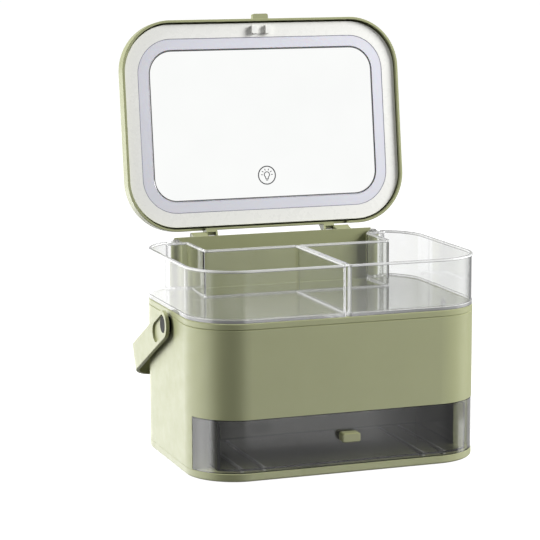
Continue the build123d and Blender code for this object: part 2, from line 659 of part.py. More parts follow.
def lid_knuckle():
    """Hinge knuckle on the right of the lid, with its arm and the window that bares the pin."""
    x0, x1 = LID_KNUCKLE
    root = LID_DEPTH / 2 - LID_WALL + 3 * SEAT_GAP
    arm = [(root, LID_LOW + SLIDE_GAP), (root, HINGE_Z + 2.75 * KNUCKLE),
           (root + 0.45 * KNUCKLE, HINGE_Z + 2.75 * KNUCKLE),
           (HINGE_Y + 0.8 * KNUCKLE, HINGE_Z + 0.575 * KNUCKLE), (HINGE_Y, HINGE_Z),
           (HINGE_Y - 0.5 * KNUCKLE, HINGE_Z - 0.825 * KNUCKLE)]
    knuckle = side_profile(arm, x0, x1) + rod(x0, x1, HINGE_Y, HINGE_Z, KNUCKLE)
    knuckle -= rod(x0 + KNUCKLE_CAP, x1 + PAST, HINGE_Y, HINGE_Z, HINGE_PIN + FIT_GAP)
    return knuckle - box(x0 + 1.5 * KNUCKLE_CAP, x1 - KNUCKLE_CAP / 2, HINGE_Y - 0.95 * KNUCKLE,
                         HINGE_Y, HINGE_Z - KNUCKLE - PAST, HINGE_Z - FIT_GAP)


def lift_root(spread):
    """Root of the lift tab, or with a spread the pocket that it sits in."""
    middle = LIFT_Z + TAB_LIFT_HIGH / 2
    half = TAB_LIFT_HIGH / 3 + spread
    front = -LID_DEPTH / 2
    return box(-TAB_ROOT_HALF - 2 * spread, TAB_ROOT_HALF + 2 * spread, front - TAB_ROOT_DEEP / 2,
               front + TAB_ROOT_DEEP + spread, middle - half, middle + half)


def lid_shell():
    """Outer moulding of the lid, with screw bosses, hinge knuckles and slots for the others."""
    outer = plate(LID_WIDTH, LID_DEPTH, LID_CORNER, LID_LOW, LID_TOP)
    outer = fillet(top_edges(outer), LID_ROUND)
    outer = fillet(low_edges(outer), LID_WALL * 0.3)
    hollow = plate(LID_WIDTH - 2 * LID_WALL, LID_DEPTH - 2 * LID_WALL, LID_CORNER - LID_WALL,
                   LID_LOW - PAST, LID_TOP - LID_SKIN)
    hollow = fillet(top_edges(hollow), LID_ROUND - LID_WALL)
    shell = outer - hollow
    ceiling = LID_TOP - LID_SKIN
    for x, y in LID_BOSSES:
        shell += post(x, y, BOARD_Z + BOARD_THICK, ceiling + LID_SKIN / 5, BOSS_RADIUS)
        shell -= post(x, y, BOARD_Z, BOARD_Z + LID_SCREW_LONG + SLIDE_GAP, LID_SCREW + 2 * FIT_GAP)
    x0, x1 = BASE_KNUCKLE
    slot = box(x0 - SLIDE_GAP, x1 + SLIDE_GAP, BACK - SEAT_GAP, LID_DEPTH / 2 + PAST,
               LID_LOW - PAST, HINGE_Z + 1.3 * KNUCKLE)
    shell = shell - slot - mirrored(slot)
    knuckle = lid_knuckle()
    shell = shell + knuckle + mirrored(knuckle)
    shell -= lift_root(FIT_GAP)
    return shell - socket_body(FIT_GAP, LID_WIDTH / 2 + PAST)


def lid_frame():
    """White frame round the light ring, with a skirt that stands inside the lid's wall."""
    frame = plate(FRAME_W, FRAME_D, FRAME_R, FRAME_Z, FRAME_Z + FRAME_THICK)
    frame = fillet(low_edges(frame), FRAME_THICK / 5)
    in_by = SLIDE_GAP
    skirt = plate(FRAME_W - 2 * in_by, FRAME_D - 2 * in_by, FRAME_R - in_by,
                  FRAME_Z + FRAME_THICK / 2, FRAME_Z + FRAME_THICK + SKIRT_HIGH)
    in_by += SKIRT_THICK
    skirt -= plate(FRAME_W - 2 * in_by, FRAME_D - 2 * in_by, FRAME_R - in_by, FRAME_Z, LID_TOP)
    frame += skirt
    frame -= ring_plate(-FIT_GAP, FRAME_Z - PAST, LID_TOP)
    return frame - ring_plate(-RING_LEDGE, FRAME_Z + FACE_DEPTH, LID_TOP)


def ring_plate(in_by, z0, z1):
    """A plate with the outline of the light ring, drawn in or, below zero, let out."""
    return plate(RING_W - 2 * in_by, RING_D - 2 * in_by, RING_R - in_by, z0, z1)


def light_diffuser():
    """Milky ring round the mirror, stepped so that frame and mirror sit in it."""
    ring = ring_plate(0, FRAME_Z + SEAT_GAP, FRAME_Z + FRAME_THICK)
    ring += ring_plate(SEAT_GAP - RING_LEDGE, FRAME_Z + FACE_DEPTH, FRAME_Z + FRAME_THICK)
    return ring - ring_plate(RING_BAND - 3 * FIT_GAP, FRAME_Z - PAST, FRAME_Z + FACE_DEPTH)


def mirror_glass():
    glass = ring_plate(RING_BAND, FRAME_Z + SEAT_GAP, FRAME_Z + FACE_DEPTH)
    return chamfer(low_edges(glass), MIRROR_BEVEL)


def touch_sensor():
    low = FRAME_Z + FRAME_THICK
    return post(0, TOUCH_Y, low, low + TOUCH_THICK, TOUCH_RADIUS)


def backing_board():
    """Board screwed into the lid, which carries the lamps, the cell and the control board."""
    in_by = BOARD_INSET
    board = plate(FRAME_W - 2 * in_by, FRAME_D - 2 * in_by, FRAME_R - in_by,
                  BOARD_Z, BOARD_Z + BOARD_THICK)
    for x, y in LID_BOSSES:
        board -= post(x, y, BOARD_Z - PAST, LID_TOP, LID_SCREW + SLIDE_GAP)
    middle_x, middle_y = CONTROL_AT
    reach_x = CONTROL_SIZE[0] / 2 - STANDOFF_INSET[0]
    reach_y = CONTROL_SIZE[1] / 2 - STANDOFF_INSET[1]
    top = BOARD_Z + BOARD_THICK
    for x in (middle_x - reach_x, middle_x + reach_x):
        for y in (middle_y - reach_y, middle_y + reach_y):
            board += post(x, y, BOARD_Z, top + STANDOFF, STANDOFF)
    return board


def lid_screws():
    screws = []
    for x, y in LID_BOSSES:
        head = post(x, y, BOARD_Z - LID_SCREW_HEAD / 2, BOARD_Z, LID_SCREW_HEAD)
        screws.append(head + post(x, y, BOARD_Z - LID_SCREW / 2, BOARD_Z + LID_SCREW_LONG,
                                  LID_SCREW))
    return screws


def light_strip():
    """A flexible board that runs round behind the diffuser, with a row of small lamps."""
    middle = RING_BAND / 2
    low = BOARD_Z - STRIP_THICK
    strip = ring_plate(middle - STRIP_HALF, low, BOARD_Z)
    strip -= ring_plate(middle + STRIP_HALF, low - PAST, BOARD_Z + PAST)
    half_w = RING_W / 2 - middle
    half_d = RING_D / 2 - middle
    across = int((RING_W / 2 - RING_R) / LAMP_PITCH)
    along = int((RING_D / 2 - RING_R) / LAMP_PITCH)
    for s in LEFT_RIGHT:
        for k in range(-across, across + 1):
            strip += slab((k * LAMP_PITCH, s * half_d), (LAMP_LONG, LAMP_WIDE, LAMP_HIGH + FIT_GAP),
                          low - LAMP_HIGH)
        for k in range(-along, along + 1):
            strip += slab((s * half_w, k * LAMP_PITCH), (LAMP_WIDE, LAMP_LONG, LAMP_HIGH + FIT_GAP),
                          low - LAMP_HIGH)
    return strip


def battery_cell():
    cell = slab(CELL_AT, CELL_SIZE, BOARD_Z + BOARD_THICK)
    return fillet(cell.edges().filter_by(Axis.X), CELL_ROUND)


def control_board():
    low = BOARD_Z + BOARD_THICK + STANDOFF
    board = slab(CONTROL_AT, CONTROL_SIZE, low)
    top = low + CONTROL_SIZE[2]
    for x, y, wide, deep, high in CHIPS:
        spot = (CONTROL_AT[0] + x, CONTROL_AT[1] + y)
        board += slab(spot, (wide, deep, high + SEAT_GAP), top - SEAT_GAP)
    return board


def socket_body(spread, x1):
    """Body of the charging socket, or with a spread the hole that it sits in."""
    x0 = LID_WIDTH / 2 - 2 * SLIDE_GAP - SOCKET_DEEP
    wide = SOCKET_WIDE / 2 + 3 * spread
    high = SOCKET_HIGH / 2 + spread
    body = box(x0, x1, SOCKET_Y - wide, SOCKET_Y + wide, SOCKET_Z - high, SOCKET_Z + high)
    return fillet(body.edges().filter_by(Axis.X), SOCKET_HIGH * 0.375)


def charging_socket():
    x1 = LID_WIDTH / 2 - 2 * SLIDE_GAP
    x0 = x1 - SOCKET_DEEP
    socket = socket_body(0, x1)
    wide = SOCKET_WIDE / 2 - SOCKET_SHELL
    high = SOCKET_HIGH / 2 - SOCKET_SHELL
    socket -= box(x0 + 2 * SOCKET_SHELL, x1 + PAST, SOCKET_Y - wide, SOCKET_Y + wide,
                  SOCKET_Z - high, SOCKET_Z + high)
    tongue = SOCKET_TONGUE / 2
    wide -= SOCKET_SHELL
    return socket + box(x0 + SOCKET_SHELL, x1 - 2 * SOCKET_SHELL, SOCKET_Y - wide,
                        SOCKET_Y + wide, SOCKET_Z - tongue, SOCKET_Z + tongue)


def lid_catch():
    """White catch under the lid, two posts that straddle the trays' middle walls."""
    y0 = FRONT + TRAY_INSET + TRAY_WALL + CATCH_GAP
    y1 = y0 + CATCH_LONG
    catch = box(-CATCH_HALF, CATCH_HALF, y0, y1, FRAME_Z - CATCH_HIGH, FRAME_Z)
    catch = fillet(catch.edges().filter_by(Axis.Z), CATCH_LONG / 8)
    return catch - box(-CATCH_SLOT, CATCH_SLOT, y0 - PAST, y1 + PAST, FRAME_Z - CATCH_HIGH - PAST,
                       FRAME_Z - CATCH_SKIN)


def lift_tab():
    """Tab at the front of the lid that a finger lifts."""
    front = -LID_DEPTH / 2
    tab = box(-TAB_LIFT_HALF, TAB_LIFT_HALF, front - TAB_LIFT_OUT, front,
              LIFT_Z, LIFT_Z + TAB_LIFT_HIGH)
    tab = fillet(tab.edges().filter_by(Axis.Z).group_by(Axis.Y)[0], TAB_LIFT_ROUND)
    tab = fillet(top_edges(tab), TAB_LIFT_ROUND * 0.6)
    return tab + lift_root(0)


NODES = {
    "base_plate": base_plate,
    "body_shell": body_shell,
    "drawer_bay": drawer_bay,
    "top_rim": top_rim,
    "back_wall": back_wall,
    "glide_strips": glide_strips,
    "rubber_feet": rubber_feet,
    "base_screws": base_screws,
    "drawer_front": drawer_front,
    "drawer_box": drawer_box,
    "drawer_pull": drawer_pull,
    "pull_screw": pull_screw,
    "tray_pivot_pins": tray_pivot_pins,
    "handle_bail": handle_bail,
    "handle_studs": handle_studs,
    "handle_washers": handle_washers,
    "lid_hinge_pins": hinge_pins,
}

LID_NODES = {
    "lid_shell": lid_shell,
    "lid_frame": lid_frame,
    "light_diffuser": light_diffuser,
    "mirror_glass": mirror_glass,
    "touch_sensor": touch_sensor,
    "backing_board": backing_board,
    "lid_screws": lid_screws,
    "light_strip": light_strip,
    "battery_cell": battery_cell,
    "control_board": control_board,
    "charging_socket": charging_socket,
    "lid_catch": lid_catch,
    "lift_tab": lift_tab,
}


def save(name, shape):
    if isinstance(shape, list):
        shape = Compound(children=shape)
    export_step(shape, f"parts/{name}.step")


for name, build in NODES.items():
    save(name, build())

for name, build in LID_NODES.items():
    shape = build()
    if isinstance(shape, list):
        save(name, [opened(piece) for piece in shape])
    else:
        save(name, opened(shape))

tray = right_tray()
save("right_tray", tray)
save("left_tray", mirrored(tray))
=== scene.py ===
import json
from math import cos, radians, sin

import bmesh
import bpy
from mathutils import Matrix, Vector


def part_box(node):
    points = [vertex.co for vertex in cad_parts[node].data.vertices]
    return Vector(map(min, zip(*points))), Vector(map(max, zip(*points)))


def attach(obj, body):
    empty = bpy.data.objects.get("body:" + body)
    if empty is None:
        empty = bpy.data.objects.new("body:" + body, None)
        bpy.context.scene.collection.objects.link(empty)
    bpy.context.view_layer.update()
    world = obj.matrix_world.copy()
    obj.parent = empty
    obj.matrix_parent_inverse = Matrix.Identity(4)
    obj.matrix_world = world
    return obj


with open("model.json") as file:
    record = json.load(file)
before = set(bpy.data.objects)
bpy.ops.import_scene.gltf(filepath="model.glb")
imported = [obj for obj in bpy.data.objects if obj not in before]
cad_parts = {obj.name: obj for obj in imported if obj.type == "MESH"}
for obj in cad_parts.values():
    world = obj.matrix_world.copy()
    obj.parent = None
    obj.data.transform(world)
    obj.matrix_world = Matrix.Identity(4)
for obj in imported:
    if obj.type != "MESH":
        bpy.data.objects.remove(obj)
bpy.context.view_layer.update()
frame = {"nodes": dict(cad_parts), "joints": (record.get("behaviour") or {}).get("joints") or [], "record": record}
MM = 0.001

# The lid's hinge line in mm, and how far the lid is open at rest in degrees
hinge = next(joint for joint in frame["joints"] if joint["name"] == "lid_hinge")
HINGE_Y, HINGE_Z = (place / MM for place in hinge["pos_m"][1:])
OPEN_ANGLE = -hinge["range_deg"][0]

# On the closed lid in mm, as in the part's source: the mirror's face and the middle of the touch spot
GLASS_FACE = 195.6
TOUCH_Y = 51.3

# The light ring in mm: half its width, half its depth and its corner radius, and how wide its band is
RING = (127.3, 84.8, 34.6)
RING_BAND = 10.9

# The trays' flange and bead in mm, as in the part's source
TRAY_FLANGE = 4.0
BEAD_HIGH = 2.2

# How far the two faces of a print stand off the mirror, in mm
PRINT_NEAR = 0.01
PRINT_FAR = 0.09

# The camera, solved on the photograph's edges: its azimuth, height and roll in degrees, the point in mm
# that it looks at, how far from that it stands and how far it sees in m, its focal length in pixels of
# the photograph, and its sensor's width
CAMERA_AZIMUTH = -19.674
CAMERA_HEIGHT = 9.235
CAMERA_ROLL = -0.181
CAMERA_AIM = (-39.054, 0.214, 174.938)
CAMERA_AWAY = 2.00144
CAMERA_REACH = 50.0
FOCAL_PIXELS = 2140.73
PHOTO_PIXELS = 540
SENSOR_MM = 36.0

# The studio: the point in m that the lamps face, half the floor's width in m, how much the floor glows,
# the strength of the sheets that gloss sees, and that of the even light on everything
LAMP_AIM = (0.0, 0.0, 0.12)
FLOOR_REACH = 12.0
FLOOR_GLOW = 0.93
SHEET_POWER = 5.0
AMBIENT = 0.27

# Nearly all of a noise lies between these two values
NOISE_LOW = 0.3
NOISE_HIGH = 0.7

# Refraction of clear acrylic
ACRYLIC_IOR = 1.49

# The stretches of the object, in mm, that greys by place are spread over
TRAY_HEIGHTS = (140.0, 200.0)
HALF_WIDTHS = (0.0, 140.0)
DEPTHS = (-100.0, 100.0)
DRAWER_HEIGHTS = (0.0, 60.0)

# How often light may bounce, enough to pass the clear walls of trays and drawer
BOUNCES = 24


def nodes_of(name):
    """A new material, its node tree, its main shader and the coordinates on the object."""
    mat = bpy.data.materials.new(name)
    mat.use_nodes = True
    tree = mat.node_tree
    shader = tree.nodes["Principled BSDF"]
    coords = tree.nodes.new("ShaderNodeTexCoord")
    return mat, tree, shader, coords.outputs["Object"]


def noise(tree, coords, size_mm, detail, roughness=0.5):
    """A noise whose grains are about size_mm across."""
    node = tree.nodes.new("ShaderNodeTexNoise")
    node.inputs["Scale"].default_value = 1.0 / (size_mm * MM)
    node.inputs["Detail"].default_value = detail
    node.inputs["Roughness"].default_value = roughness
    tree.links.new(coords, node.inputs["Vector"])
    return node.outputs["Fac"]


def spread(tree, value, low, high):
    """A noise, spread over a range."""
    node = tree.nodes.new("ShaderNodeMapRange")
    node.inputs["From Min"].default_value = NOISE_LOW
    node.inputs["From Max"].default_value = NOISE_HIGH
    node.inputs["To Min"].default_value = low
    node.inputs["To Max"].default_value = high
    tree.links.new(value, node.inputs["Value"])
    return node.outputs["Result"]


def bump(tree, shader, height, depth_mm, strength, first=None):
    """Relief from a height, on top of a first relief where there is one."""
    node = tree.nodes.new("ShaderNodeBump")
    node.inputs["Strength"].default_value = strength
    node.inputs["Distance"].default_value = depth_mm * MM
    tree.links.new(height, node.inputs["Height"])
    if first is not None:
        tree.links.new(first, node.inputs["Normal"])
    tree.links.new(node.outputs["Normal"], shader.inputs["Normal"])
    return node.outputs["Normal"]


def tint(tree, shader, value, color, darker, lighter):
    """The base colour drifts with a noise between a darker and a lighter one."""
    ramp = tree.nodes.new("ShaderNodeValToRGB")
    low, high = ramp.color_ramp.elements
    low.position = NOISE_LOW
    high.position = NOISE_HIGH
    low.color = [c * darker for c in color] + [1.0]
    high.color = [min(1.0, c * lighter) for c in color] + [1.0]
    tree.links.new(value, ramp.inputs["Fac"])
    tree.links.new(ramp.outputs["Color"], shader.inputs["Base Color"])


def shades(tree, value, low, high, stops):
    """Greys along a range: each stop is a place in the range and its grey."""
    fit = tree.nodes.new("ShaderNodeMapRange")
    fit.inputs["From Min"].default_value = low
    fit.inputs["From Max"].default_value = high
    tree.links.new(value, fit.inputs["Value"])
    ramp = tree.nodes.new("ShaderNodeValToRGB")
    marks = ramp.color_ramp.elements
    while len(marks) < len(stops):
        marks.new(0.5)
    for mark, (at, grey) in zip(marks, stops):
        mark.position = (at - low) / (high - low)
        mark.color = (grey, grey, grey, 1.0)
    tree.links.new(fit.outputs["Result"], ramp.inputs["Fac"])
    return ramp.outputs["Color"]


def maths(tree, operation, first, second=None):
    """One or two values, put through an operation."""
    node = tree.nodes.new("ShaderNodeMath")
    node.operation = operation
    tree.links.new(first, node.inputs[0])
    if second is not None:
        tree.links.new(second, node.inputs[1])
    return node.outputs[0]


def by_place(tree, axis, span, stops, half=False):
    """Greys by the place on the object along one axis, in mm. With half, both sides are alike."""
    low, high = (end * MM for end in span)
    place = tree.nodes.new("ShaderNodeSeparateXYZ")
    tree.links.new(tree.nodes["Texture Coordinate"].outputs["Object"], place.inputs[0])
    value = place.outputs[axis]
    if half:
        value = maths(tree, "ABSOLUTE", value)
    return shades(tree, value, low, high, [(at * MM, grey) for at, grey in stops])


def paint_shade(tree, greys):
    """The base colour, darkened by some greys of painted shade."""
    shader = tree.nodes["Principled BSDF"]
    color = tree.nodes.new("ShaderNodeVectorMath")
    color.operation = "MULTIPLY"
    tree.links.new(shader.inputs["Base Color"].links[0].from_socket, color.inputs[0])
    tree.links.new(greys, color.inputs[1])
    tree.links.new(color.outputs["Vector"], shader.inputs["Base Color"])


def moulded(name, color, rough, grain_mm, grain_depth, drift=0.03, **constants):
    """Moulded plastic: a fine spark-eroded grain, a slow waviness and a slight drift of colour."""
    mat, tree, shader, coords = nodes_of(name)
    fine = noise(tree, coords, grain_mm, detail=2.0)
    slow = noise(tree, coords, size_mm=34.0, detail=2.0)
    wear = noise(tree, coords, size_mm=9.0, detail=5.0, roughness=0.62)
    tint(tree, shader, slow, color, darker=1 - drift, lighter=1 + drift)
    tree.links.new(spread(tree, wear, rough - 0.05, rough + 0.05), shader.inputs["Roughness"])
    wavy = bump(tree, shader, slow, depth_mm=0.5, strength=0.10)
    bump(tree, shader, fine, grain_depth, strength=0.35, first=wavy)
    for key, value in constants.items():
        shader.inputs[key.replace("_", " ")].default_value = value
    return mat


def clear_plastic(name, color, shadow, rough=0.02, wave=0.06):
    """Polished clear plastic with faint flow lines and fine scuffs.

    Shadow is the share of the lamps' light that it lets through.
    """
    mat, tree, shader, coords = nodes_of(name)
    shader.inputs["Transmission Weight"].default_value = 1.0
    shader.inputs["IOR"].default_value = ACRYLIC_IOR
    slow = noise(tree, coords, size_mm=46.0, detail=1.0)
    tint(tree, shader, slow, color, darker=0.985, lighter=1.01)
    scuff = noise(tree, coords, size_mm=5.0, detail=6.0, roughness=0.7)
    tree.links.new(spread(tree, scuff, 0.0, 2 * rough), shader.inputs["Roughness"])
    bump(tree, shader, slow, depth_mm=0.4, strength=wave)
    lamps = tree.nodes.new("ShaderNodeBsdfTransparent")
    lamps.inputs["Color"].default_value = (shadow, shadow, shadow, 1.0)
    path = tree.nodes.new("ShaderNodeLightPath")
    mix = tree.nodes.new("ShaderNodeMixShader")
    tree.links.new(path.outputs["Is Shadow Ray"], mix.inputs["Fac"])
    tree.links.new(shader.outputs["BSDF"], mix.inputs[1])
    tree.links.new(lamps.outputs["BSDF"], mix.inputs[2])
    tree.links.new(mix.outputs["Shader"], tree.nodes["Material Output"].inputs["Surface"])
    return mat


def metal(name, color, rough, line_mm=0.6):
    """Turned or drawn metal with fine lines along X."""
    mat, tree, shader, coords = nodes_of(name)
    shader.inputs["Metallic"].default_value = 1.0
    stretch = tree.nodes.new("ShaderNodeMapping")
    stretch.inputs["Scale"].default_value = (0.06, 1.0, 1.0)
    tree.links.new(coords, stretch.inputs["Vector"])
    lines = noise(tree, stretch.outputs["Vector"], line_mm, detail=4.0)
    tint(tree, shader, lines, color, darker=0.92, lighter=1.05)
    tree.links.new(spread(tree, lines, rough - 0.06, rough + 0.08), shader.inputs["Roughness"])
    bump(tree, shader, lines, depth_mm=0.05, strength=0.3)
    return mat


def silvered(name, color):
    """Mirror glass: silvered behind, with a trace of haze and dust."""
    mat, tree, shader, coords = nodes_of(name)
    shader.inputs["Metallic"].default_value = 1.0
    haze = noise(tree, coords, size_mm=60.0, detail=2.0)
    dust = noise(tree, coords, size_mm=3.0, detail=8.0, roughness=0.75)
    tint(tree, shader, haze, color, darker=0.99, lighter=1.01)
    tree.links.new(spread(tree, dust, 0.0, 0.02), shader.inputs["Roughness"])
    bump(tree, shader, haze, depth_mm=0.02, strength=0.02)
    return mat


def paint_rim_light_and_shade(mat):
    """Trays get painted highlights, less clear and so whiter, at their flange, at their bead and where they meet
    in front, and dark lines of painted shade.
    """
    tree = mat.node_tree
    low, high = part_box("left_tray")
    foot = low.z / MM
    flange = foot + TRAY_FLANGE
    top = high.z / MM
    bead = top - BEAD_HIGH
    front = low.y / MM

    # How clear the plastic is, by height, on level faces and on upright ones; the less clear bands are painted
    # highlights
    flats = by_place(tree, "Z", TRAY_HEIGHTS,
                     ((flange - 0.6, 0.95), (flange - 0.1, 0.85), (flange + 0.4, 1.0),
                      (bead - 0.3, 1.0), (bead - 0.1, 0.6)))
    sides = by_place(tree, "Z", TRAY_HEIGHTS,
                     ((flange - 0.1, 0.75), (flange + 0.2, 1.0), (bead - 0.3, 1.0), (bead - 0.1, 0.6)))
    normal = tree.nodes.new("ShaderNodeSeparateXYZ")
    tree.links.new(tree.nodes.new("ShaderNodeNewGeometry").outputs["Normal"], normal.inputs[0])
    mix = tree.nodes.new("ShaderNodeMix")
    mix.data_type = "FLOAT"
    tree.links.new(maths(tree, "ABSOLUTE", normal.outputs["Z"]), mix.inputs[0])
    tree.links.new(sides, mix.inputs[2])
    tree.links.new(flats, mix.inputs[3])

    # The painted highlight on the edge where the trays meet is only at the front
    middle = by_place(tree, "X", HALF_WIDTHS, ((3.3, 0.55), (3.5, 1.0)), half=True)
    behind = by_place(tree, "Y", DEPTHS, ((front + 4.0, 0.55), (front + 4.2, 1.0)))
    clear = maths(tree, "MINIMUM", mix.outputs[0], maths(tree, "MAXIMUM", middle, behind))
    tree.links.new(clear, tree.nodes["Principled BSDF"].inputs["Transmission Weight"])

    # Painted shade as dark lines by height: at the foot, at the flange's top, where the bead starts and at the top
    paint_shade(tree, by_place(tree, "Z", TRAY_HEIGHTS,
                          ((foot + 0.3, 0.5), (foot + 0.8, 1.0), (flange - 0.5, 1.0), (flange - 0.2, 0.55),
                           (flange + 0.2, 1.0), (bead - 0.3, 1.0), (bead - 0.1, 0.35), (bead + 0.2, 0.35),
                           (bead + 0.4, 1.0), (top - 0.4, 1.0), (top - 0.2, 0.7))))


def paint_edge_shade(mat):
    """The lower and upper edges of the drawer's front get thin dark lines of painted shade."""
    low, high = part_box("drawer_front")
    foot = low.z / MM
    top = high.z / MM
    paint_shade(mat.node_tree, by_place(mat.node_tree, "Z", DRAWER_HEIGHTS,
                                   ((foot + 0.5, 0.15), (foot + 0.9, 1.0),
                                    (top - 0.9, 1.0), (top - 0.5, 0.15))))


materials = {
    "green": moulded("green", (0.287, 0.300, 0.165), rough=0.40, grain_mm=0.45, grain_depth=0.03,
                     drift=0.015, Coat_Weight=0.08, Coat_Roughness=0.35),
    "green_light": moulded("green_light", (0.24, 0.245, 0.13), rough=0.34, grain_mm=0.45, grain_depth=0.02),
    "clear": clear_plastic("clear", (0.980, 0.986, 0.983), shadow=0.95),
    # The tub's darker smoked plastic paints shade over the drawer's inside; the clearer front is a lighter copy,
    # so the returns behind it show lighter
    "smoked": clear_plastic("smoked", (0.76, 0.76, 0.74), shadow=0.62, rough=0.03, wave=0.02),
    "smoked_front": clear_plastic("smoked_front", (0.95, 0.95, 0.94), shadow=0.97, wave=0.01),
    "white": moulded("white", (0.77, 0.77, 0.74), rough=0.28, grain_mm=0.6, grain_depth=0.01,
                     drift=0.01, Coat_Weight=0.2, Coat_Roughness=0.1),
    "diffuser": moulded("diffuser", (0.674, 0.646, 0.70), rough=0.45, grain_mm=0.3, grain_depth=0.03,
                        drift=0.01, Subsurface_Weight=0.1),
    "mirror": silvered("mirror", (0.955, 0.965, 0.955)),
    "inner_white": moulded("inner_white", (0.78, 0.78, 0.78), rough=0.55, grain_mm=0.5, grain_depth=0.04),
    "steel": metal("steel", (0.60, 0.59, 0.57), rough=0.26),
    # Near-black plastic on the handle's pivot parts: painted shade, standing in for the deep shade in the pivot
    # recess and the gap behind the arm
    "pivot_black": moulded("pivot_black", (0.010, 0.010, 0.009), rough=0.45, grain_mm=0.5,
                           grain_depth=0.03, drift=0.1, Specular_IOR_Level=0.03),
    "nylon": moulded("nylon", (0.85, 0.86, 0.82), rough=0.48, grain_mm=0.5, grain_depth=0.03),
    "rubber": moulded("rubber", (0.016, 0.016, 0.016), rough=0.75, grain_mm=0.35, grain_depth=0.06,
                      drift=0.15),
    "board": moulded("board", (0.02, 0.09, 0.04), rough=0.42, grain_mm=0.8, grain_depth=0.03, drift=0.1),
    "sensor": metal("sensor", (0.70, 0.45, 0.22), rough=0.35),
    "cell": metal("cell", (0.42, 0.44, 0.48), rough=0.42, line_mm=1.2),
    "socket": metal("socket", (0.48, 0.48, 0.50), rough=0.30),
    "seam": moulded("seam", (0.20, 0.20, 0.26), rough=0.55, grain_mm=0.3, grain_depth=0.01, drift=0.05),
    "mark": moulded("mark", (0.075, 0.075, 0.08), rough=0.55, grain_mm=0.3, grain_depth=0.01, drift=0.1),
}
# Painted highlights and dark lines of painted shade on the trays' rims
paint_rim_light_and_shade(materials["clear"])
# Dark lines of painted shade on the drawer front's edges
paint_edge_shade(materials["smoked_front"])

# Each node has the material of its slot, but the drawer's front is clearer than the tub behind it, whose darker
# tint is painted shade inside the drawer
looks = {part["node"]: part["material_slot"] for part in frame["record"]["subparts"]}
looks["drawer_front"] = "smoked_front"
for name, node in frame["nodes"].items():
    node.data.materials.clear()
    node.data.materials.append(materials[looks[name]])


def opened(x, y, z):
    """A point of the closed lid, in millimetres, where it is on the open lid, in metres."""
    turn = -radians(OPEN_ANGLE)
    dy = y - HINGE_Y
    dz = z - HINGE_Z
    return Vector((x, HINGE_Y + dy * cos(turn) - dz * sin(turn),
                   HINGE_Z + dy * sin(turn) + dz * cos(turn))) * MM


def lid_print(name, outlines, look="mark"):
    """Thin printed shapes in the plane of the mirror's face.

    Each outline is a loop of points, in mm from the middle of the touch spot.
    """
    mesh = bpy.data.meshes.new(name)
    work = bmesh.new()
    for loop in outlines:
        low = [work.verts.new(opened(x, TOUCH_Y + v, GLASS_FACE - PRINT_FAR)) for x, v in loop]
        high = [work.verts.new(opened(x, TOUCH_Y + v, GLASS_FACE - PRINT_NEAR)) for x, v in loop]
        work.faces.new(low)
        work.faces.new(list(reversed(high)))
        count = len(loop)
        for k in range(count):
            n = (k + 1) % count
            work.faces.new((low[n], low[k], high[k], high[n]))
    bmesh.ops.recalc_face_normals(work, faces=work.faces)
    work.to_mesh(mesh)
    work.free()
    piece = bpy.data.objects.new(name, mesh)
    bpy.context.scene.collection.objects.link(piece)
    mesh.materials.append(materials[look])
    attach(piece, "lid")


def border(in_by, width, steps=16):
    """A band that follows the light ring's outline, in_by inside it, in quad loops."""
    half_x, half_v, radius = (size - in_by for size in RING)
    rows = []
    for turn, (sx, sv) in enumerate(((1, 1), (-1, 1), (-1, -1), (1, -1))):
        x = sx * (half_x - radius)
        v = sv * (half_v - radius) - TOUCH_Y
        for k in range(steps + 1):
            t = radians(90 * (turn + k / steps))
            rows.append([(x + r * cos(t), v + r * sin(t)) for r in (radius - width, radius)])
    return [(a[0], a[1], b[1], b[0]) for a, b in zip(rows, rows[1:] + rows[:1])]


def arc_band(middle, radius, half, start, stop, steps):
    """A band of width 2 * half along an arc, in quad loops. Its middle is on the lid's centre line."""
    bands = []
    for k in range(steps):
        a = radians(start + (stop - start) * k / steps)
        b = radians(start + (stop - start) * (k + 1) / steps)
        bands.append([(r * cos(t), middle + r * sin(t))
                      for r, t in ((radius - half, a), (radius + half, a),
                                   (radius + half, b), (radius - half, b))])
    return bands


def bar(x0, v0, x1, v1, half):
    """A straight stroke of width 2 * half."""
    run = Vector((x1 - x0, v1 - v0)).normalized() * half
    side = Vector((-run.y, run.x))
    ends = ((x0, v0, -1), (x0, v0, 1), (x1, v1, 1), (x1, v1, -1))
    return [(x + side.x * s, v + side.y * s) for x, v, s in ends]


def lamp_sign():
    """A small lamp with six rays, in mm from the middle of the touch spot, + down on the open lid."""
    middle = -0.6
    stroke = 0.42
    thin = 0.36
    strokes = arc_band(middle, radius=2.7, half=stroke, start=125, stop=415, steps=30)
    strokes.append(bar(-1.55, 1.6, -1.25, 3.4, stroke))
    strokes.append(bar(1.55, 1.6, 1.25, 3.4, stroke))
    strokes.append(bar(-1.5, 3.7, 1.5, 3.7, stroke))
    strokes.append(bar(-1.0, 4.9, 1.0, 4.9, thin))
    for angle in (180, 215, 250, 290, 325, 360):
        t = radians(angle)
        inner, outer = ((r * cos(t), middle + r * sin(t)) for r in (4.3, 6.1))
        strokes.append(bar(*inner, *outer, thin))
    return strokes


lid_print("mirror_edge", border(in_by=RING_BAND + 0.5, width=1.0))
lid_print("ring_edge", border(in_by=0.05, width=0.5), look="seam")
lid_print("touch_ring", arc_band(middle=0, radius=8.8, half=0.55, start=0, stop=360, steps=72))
lid_print("touch_lamp", lamp_sign())


def way(azimuth, height=0.0):
    """The direction of an azimuth and a height in degrees. Azimuth 0 is the drawer side, + to its right."""
    a = radians(azimuth)
    h = radians(height)
    return Vector((sin(a) * cos(h), -cos(a) * cos(h), sin(h)))


